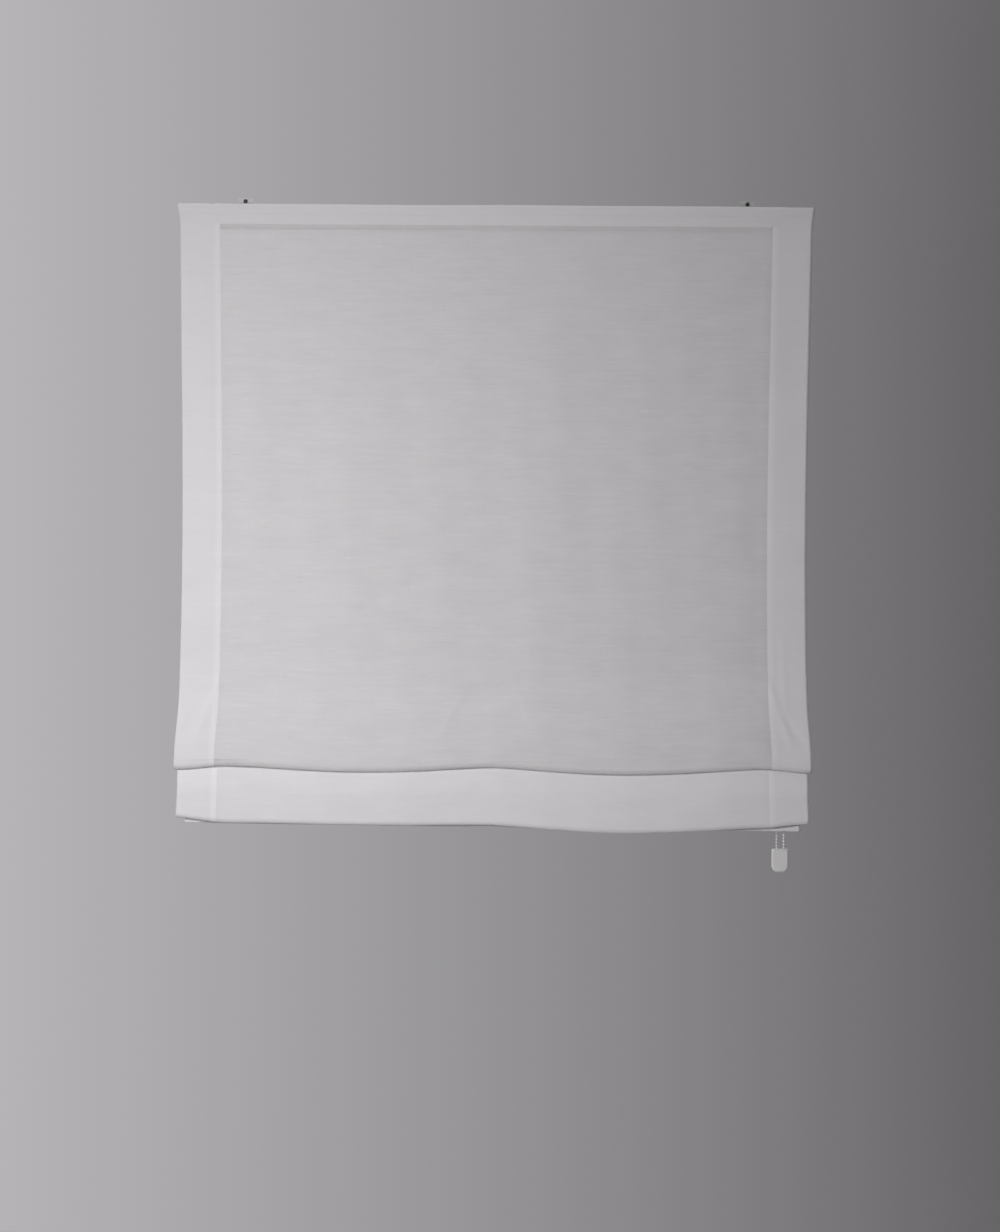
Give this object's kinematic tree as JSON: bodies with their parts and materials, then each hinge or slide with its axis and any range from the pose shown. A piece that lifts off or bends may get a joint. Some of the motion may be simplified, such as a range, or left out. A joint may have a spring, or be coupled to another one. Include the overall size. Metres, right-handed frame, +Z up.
{
  "type": "roman blind",
  "caption": "Sheer cloth roman blind, half drawn up into soft folds at the bottom, on an aluminium headrail with wall brackets, lift cords, sewn rings and a bead chain with a weight.",
  "frame": {"origin": "midway between the two wall screw holes, in the plane of the wall", "axes": "+X to the right, +Y into the wall, +Z up; the front of the blind faces -Y"},
  "size_m": [1.208, 0.0603, 1.28],
  "materials": {
    "sheer_cloth": "sheer white linen-look weave, doubled at the hems",
    "rail_paint": "white powder coat on extruded aluminium",
    "white_plastic": "white moulded plastic",
    "clip_plastic": "grey moulded plastic",
    "bracket_steel": "grey zinc-coated steel",
    "shaft_steel": "plain drawn steel",
    "bar_aluminium": "mill aluminium",
    "hook_tape": "white hook tape, glued",
    "loop_tape": "white loop tape, sewn",
    "lift_cord": "white braided cord",
    "clear_ring": "milky clear plastic",
    "chain_plastic": "white moulded beads",
    "weight_plastic": "light grey satin plastic"
  },
  "bodies": {
    "headrail": {"headrail": "rail_paint", "end_cap_left": "white_plastic", "end_cap_right": "white_plastic", "hook_tape": "hook_tape", "loop_tape": "loop_tape", "wall_bracket_left": "bracket_steel", "wall_bracket_right": "bracket_steel", "clip_rivets": "bracket_steel", "spool_cradle_left": "white_plastic", "spool_cradle_middle": "white_plastic", "spool_cradle_right": "white_plastic", "drive_housing": "white_plastic", "drive_cover": "white_plastic", "wrap_spring": "shaft_steel", "lift_cord_left": "lift_cord", "lift_cord_middle": "lift_cord", "lift_cord_right": "lift_cord", "fabric": "sheer_cloth", "bead_chain": "chain_plastic", "chain_connector": "chain_plastic", "chain_weight_front": "weight_plastic", "chain_weight_back": "weight_plastic"},
    "bottom_bar": {"bottom_bar": "bar_aluminium", "bar_cap_left": "white_plastic", "bar_cap_right": "white_plastic", "rings_lowest": "clear_ring", "rings_second": "clear_ring", "cord_adjusters": "white_plastic"},
    "third_ring_row": {"rings_third": "clear_ring"},
    "fourth_ring_row": {"rings_fourth": "clear_ring"},
    "top_ring_row": {"rings_top": "clear_ring"},
    "drive_shaft": {"drive_shaft": "shaft_steel", "cord_spool_left": "white_plastic", "cord_spool_middle": "white_plastic", "cord_spool_right": "white_plastic", "chain_wheel": "clip_plastic"},
    "left_clip": {"turn_clip_left": "clip_plastic"},
    "right_clip": {"turn_clip_right": "clip_plastic"}
  },
  "joints": [
    {"name": "blind_lift", "type": "slide", "parent": "headrail", "child": "bottom_bar", "axis": [0, 0, 1], "range_m": [0, 0.95], "deforming": ["fabric", "lift_cord_left", "lift_cord_middle", "lift_cord_right"]},
    {"name": "third_row_rise", "type": "slide", "parent": "headrail", "child": "third_ring_row", "axis": [0, 0, 1], "range_m": [0, 0.77]},
    {"name": "fourth_row_rise", "type": "slide", "parent": "headrail", "child": "fourth_ring_row", "axis": [0, 0, 1], "range_m": [0, 0.545]},
    {"name": "top_row_rise", "type": "slide", "parent": "headrail", "child": "top_ring_row", "axis": [0, 0, 1], "range_m": [0, 0.32]},
    {"name": "shaft_spin", "type": "hinge", "parent": "headrail", "child": "drive_shaft", "pos_m": [0, -0.026, -0.039], "axis": [-1, 0, 0], "range_deg": [0, 5700]},
    {"name": "left_clip_turn", "type": "hinge", "parent": "headrail", "child": "left_clip", "pos_m": [-0.48, -0.026, -0.016], "axis": [0, 0, -1], "range_deg": [0, 90]},
    {"name": "right_clip_turn", "type": "hinge", "parent": "headrail", "child": "right_clip", "pos_m": [0.48, -0.026, -0.016], "axis": [0, 0, 1], "range_deg": [0, 90]}
  ],
  "couplings": [
    {"joint": "third_row_rise", "follows": "blind_lift", "ratio": 0.79862},
    {"joint": "fourth_row_rise", "follows": "blind_lift", "ratio": 0.56367},
    {"joint": "top_row_rise", "follows": "blind_lift", "ratio": 0.32873},
    {"joint": "shaft_spin", "follows": "blind_lift", "rad_per_m": 103.09}
  ]
}
